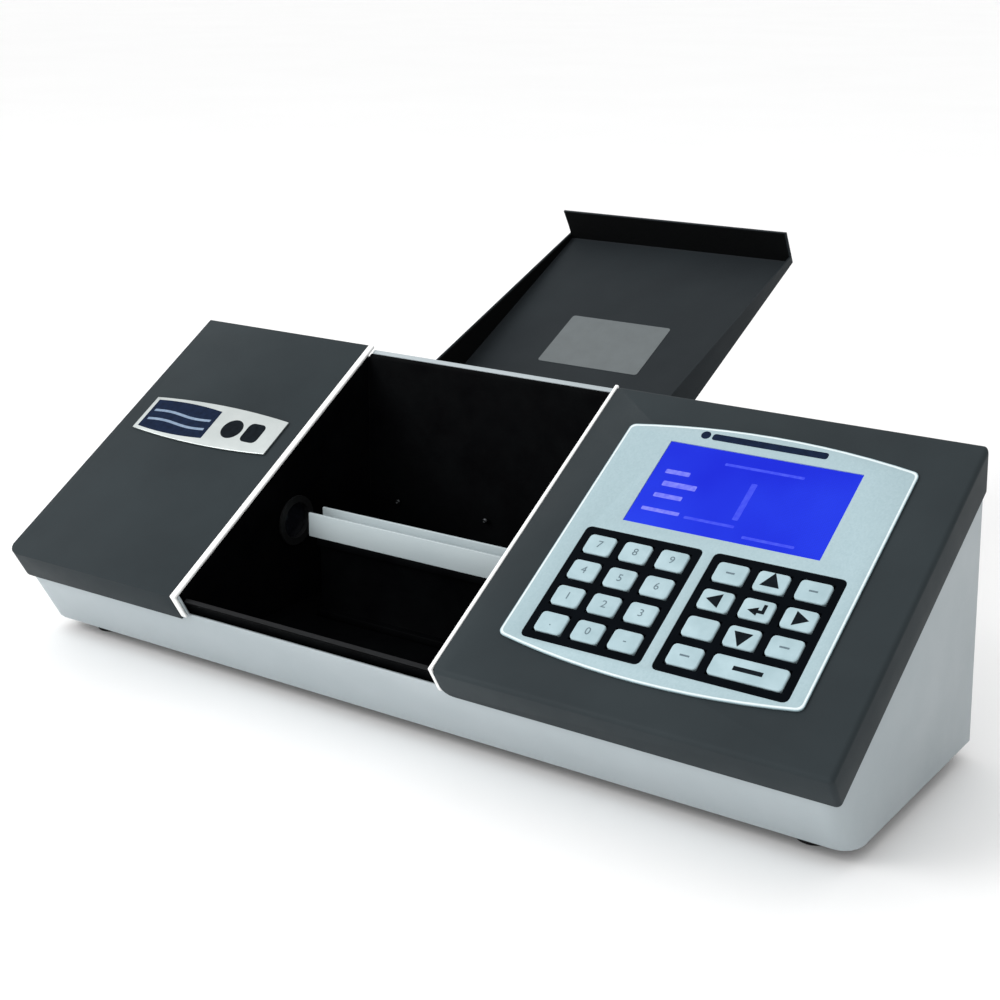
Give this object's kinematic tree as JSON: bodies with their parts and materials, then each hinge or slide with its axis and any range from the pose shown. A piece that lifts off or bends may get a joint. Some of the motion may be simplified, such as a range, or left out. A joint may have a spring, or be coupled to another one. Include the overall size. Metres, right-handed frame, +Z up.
{
  "type": "spectrophotometer",
  "caption": "Wedge-shaped bench spectrophotometer with an open sample chamber, cell trough, hinged lid, keypads and screen.",
  "frame": {"origin": "centre of the underside of the whole bounding box with the lid open, on the bench under the feet", "axes": "+Z up, +X to the operator's right along the longest side, +Y from the operator to the back"},
  "size_m": [0.515, 0.396, 0.2184],
  "materials": {
    "light_paint": "satin pale grey powder coat",
    "trim_paint": "satin off-white",
    "dark_paint": "fine-textured charcoal powder coat",
    "black_paint": "matt black",
    "trough_coat": "satin pale grey",
    "fascia_film": "silver-grey printed film",
    "key_rubber": "matt pale grey",
    "frame_plastic": "matt black",
    "screen_glass": "blue liquid-crystal screen behind clear cover",
    "badge_metal": "satin",
    "steel": "brushed",
    "black_plastic": "moulded, satin",
    "foot_rubber": "matt",
    "board_laminate": "green solder mask"
  },
  "bodies": {
    "case": {"case_shell": "light_paint", "base_plate": "black_paint", "foot_front_left": "foot_rubber", "foot_rear_left": "foot_rubber", "foot_front_right": "foot_rubber", "foot_rear_right": "foot_rubber", "rear_panel": "light_paint", "power_inlet": "black_plastic", "data_socket": "black_plastic", "left_cover": "dark_paint", "right_cover": "dark_paint", "trim_left": "trim_paint", "trim_right": "trim_paint", "rear_rail": "light_paint", "chamber_liner": "black_paint", "port_ring_left": "black_plastic", "port_ring_right": "black_plastic", "trough_support": "black_paint", "hinge_ear_left": "steel", "hinge_ear_right": "steel", "hinge_pin": "steel", "badge_plate": "badge_metal", "fascia": "fascia_film", "screen": "screen_glass", "number_frame": "frame_plastic", "function_frame": "frame_plastic", "key_board": "board_laminate", "main_board": "board_laminate", "lamp_house": "black_paint", "filter_motor": "steel", "detector": "black_paint"},
    "lid": {"lid": "dark_paint", "lid_arm_left": "black_plastic", "lid_arm_right": "black_plastic"},
    "cell_trough": {"cell_trough": "trough_coat"},
    "filter_wheel": {"filter_wheel": "black_plastic"},
    "power_switch": {"power_switch": "black_plastic"},
    "number_key_11": {"number_key_11": "key_rubber"},
    "number_key_12": {"number_key_12": "key_rubber"},
    "number_key_13": {"number_key_13": "key_rubber"},
    "number_key_21": {"number_key_21": "key_rubber"},
    "number_key_22": {"number_key_22": "key_rubber"},
    "number_key_23": {"number_key_23": "key_rubber"},
    "number_key_31": {"number_key_31": "key_rubber"},
    "number_key_32": {"number_key_32": "key_rubber"},
    "number_key_33": {"number_key_33": "key_rubber"},
    "number_key_41": {"number_key_41": "key_rubber"},
    "number_key_42": {"number_key_42": "key_rubber"},
    "number_key_43": {"number_key_43": "key_rubber"},
    "function_key_11": {"function_key_11": "key_rubber"},
    "function_key_12": {"function_key_12": "key_rubber"},
    "function_key_13": {"function_key_13": "key_rubber"},
    "function_key_21": {"function_key_21": "key_rubber"},
    "function_key_22": {"function_key_22": "key_rubber"},
    "function_key_23": {"function_key_23": "key_rubber"},
    "function_key_31": {"function_key_31": "key_rubber"},
    "function_key_32": {"function_key_32": "key_rubber"},
    "function_key_33": {"function_key_33": "key_rubber"},
    "function_key_41": {"function_key_41": "key_rubber"},
    "function_key_42": {"function_key_42": "key_rubber"}
  },
  "joints": [
    {"name": "lid_hinge", "type": "hinge", "parent": "case", "child": "lid", "pos_m": [0, -0.00331, 0.13476], "axis": [1, 0, 0], "range_deg": [0, 184.8]},
    {"name": "cell_trough_lift", "type": "slide", "parent": "case", "child": "cell_trough", "axis": [0, 0, 1], "range_m": [0, 0.018]},
    {"name": "filter_wheel_spin", "type": "hinge", "parent": "case", "child": "filter_wheel", "pos_m": [0.0625, -0.07292, 0.06], "axis": [1, 0, 0], "continuous": true},
    {"name": "power_switch_rock", "type": "hinge", "parent": "case", "child": "power_switch", "pos_m": [0.1585, -0.02638, 0.06], "axis": [1, 0, 0], "range_deg": [0, 12]},
    {"name": "number_key_11_press", "type": "slide", "parent": "case", "child": "number_key_11", "axis": [0, 0.5195, -0.8545], "range_m": [0, 0.0006], "stiffness_N_per_m": 400, "springref_m": -0.0003},
    {"name": "number_key_12_press", "type": "slide", "parent": "case", "child": "number_key_12", "axis": [0, 0.5195, -0.8545], "range_m": [0, 0.0006], "stiffness_N_per_m": 400, "springref_m": -0.0003},
    {"name": "number_key_13_press", "type": "slide", "parent": "case", "child": "number_key_13", "axis": [0, 0.5195, -0.8545], "range_m": [0, 0.0006], "stiffness_N_per_m": 400, "springref_m": -0.0003},
    {"name": "number_key_21_press", "type": "slide", "parent": "case", "child": "number_key_21", "axis": [0, 0.5195, -0.8545], "range_m": [0, 0.0006], "stiffness_N_per_m": 400, "springref_m": -0.0003},
    {"name": "number_key_22_press", "type": "slide", "parent": "case", "child": "number_key_22", "axis": [0, 0.5195, -0.8545], "range_m": [0, 0.0006], "stiffness_N_per_m": 400, "springref_m": -0.0003},
    {"name": "number_key_23_press", "type": "slide", "parent": "case", "child": "number_key_23", "axis": [0, 0.5195, -0.8545], "range_m": [0, 0.0006], "stiffness_N_per_m": 400, "springref_m": -0.0003},
    {"name": "number_key_31_press", "type": "slide", "parent": "case", "child": "number_key_31", "axis": [0, 0.5195, -0.8545], "range_m": [0, 0.0006], "stiffness_N_per_m": 400, "springref_m": -0.0003},
    {"name": "number_key_32_press", "type": "slide", "parent": "case", "child": "number_key_32", "axis": [0, 0.5195, -0.8545], "range_m": [0, 0.0006], "stiffness_N_per_m": 400, "springref_m": -0.0003},
    {"name": "number_key_33_press", "type": "slide", "parent": "case", "child": "number_key_33", "axis": [0, 0.5195, -0.8545], "range_m": [0, 0.0006], "stiffness_N_per_m": 400, "springref_m": -0.0003},
    {"name": "number_key_41_press", "type": "slide", "parent": "case", "child": "number_key_41", "axis": [0, 0.5195, -0.8545], "range_m": [0, 0.0006], "stiffness_N_per_m": 400, "springref_m": -0.0003},
    {"name": "number_key_42_press", "type": "slide", "parent": "case", "child": "number_key_42", "axis": [0, 0.5195, -0.8545], "range_m": [0, 0.0006], "stiffness_N_per_m": 400, "springref_m": -0.0003},
    {"name": "number_key_43_press", "type": "slide", "parent": "case", "child": "number_key_43", "axis": [0, 0.5195, -0.8545], "range_m": [0, 0.0006], "stiffness_N_per_m": 400, "springref_m": -0.0003},
    {"name": "function_key_11_press", "type": "slide", "parent": "case", "child": "function_key_11", "axis": [0, 0.5195, -0.8545], "range_m": [0, 0.0006], "stiffness_N_per_m": 400, "springref_m": -0.0003},
    {"name": "function_key_12_press", "type": "slide", "parent": "case", "child": "function_key_12", "axis": [0, 0.5195, -0.8545], "range_m": [0, 0.0006], "stiffness_N_per_m": 400, "springref_m": -0.0003},
    {"name": "function_key_13_press", "type": "slide", "parent": "case", "child": "function_key_13", "axis": [0, 0.5195, -0.8545], "range_m": [0, 0.0006], "stiffness_N_per_m": 400, "springref_m": -0.0003},
    {"name": "function_key_21_press", "type": "slide", "parent": "case", "child": "function_key_21", "axis": [0, 0.5195, -0.8545], "range_m": [0, 0.0006], "stiffness_N_per_m": 400, "springref_m": -0.0003},
    {"name": "function_key_22_press", "type": "slide", "parent": "case", "child": "function_key_22", "axis": [0, 0.5195, -0.8545], "range_m": [0, 0.0006], "stiffness_N_per_m": 400, "springref_m": -0.0003},
    {"name": "function_key_23_press", "type": "slide", "parent": "case", "child": "function_key_23", "axis": [0, 0.5195, -0.8545], "range_m": [0, 0.0006], "stiffness_N_per_m": 400, "springref_m": -0.0003},
    {"name": "function_key_31_press", "type": "slide", "parent": "case", "child": "function_key_31", "axis": [0, 0.5195, -0.8545], "range_m": [0, 0.0006], "stiffness_N_per_m": 400, "springref_m": -0.0003},
    {"name": "function_key_32_press", "type": "slide", "parent": "case", "child": "function_key_32", "axis": [0, 0.5195, -0.8545], "range_m": [0, 0.0006], "stiffness_N_per_m": 400, "springref_m": -0.0003},
    {"name": "function_key_33_press", "type": "slide", "parent": "case", "child": "function_key_33", "axis": [0, 0.5195, -0.8545], "range_m": [0, 0.0006], "stiffness_N_per_m": 400, "springref_m": -0.0003},
    {"name": "function_key_41_press", "type": "slide", "parent": "case", "child": "function_key_41", "axis": [0, 0.5195, -0.8545], "range_m": [0, 0.0006], "stiffness_N_per_m": 400, "springref_m": -0.0003},
    {"name": "function_key_42_press", "type": "slide", "parent": "case", "child": "function_key_42", "axis": [0, 0.5195, -0.8545], "range_m": [0, 0.0006], "stiffness_N_per_m": 400, "springref_m": -0.0003}
  ]
}
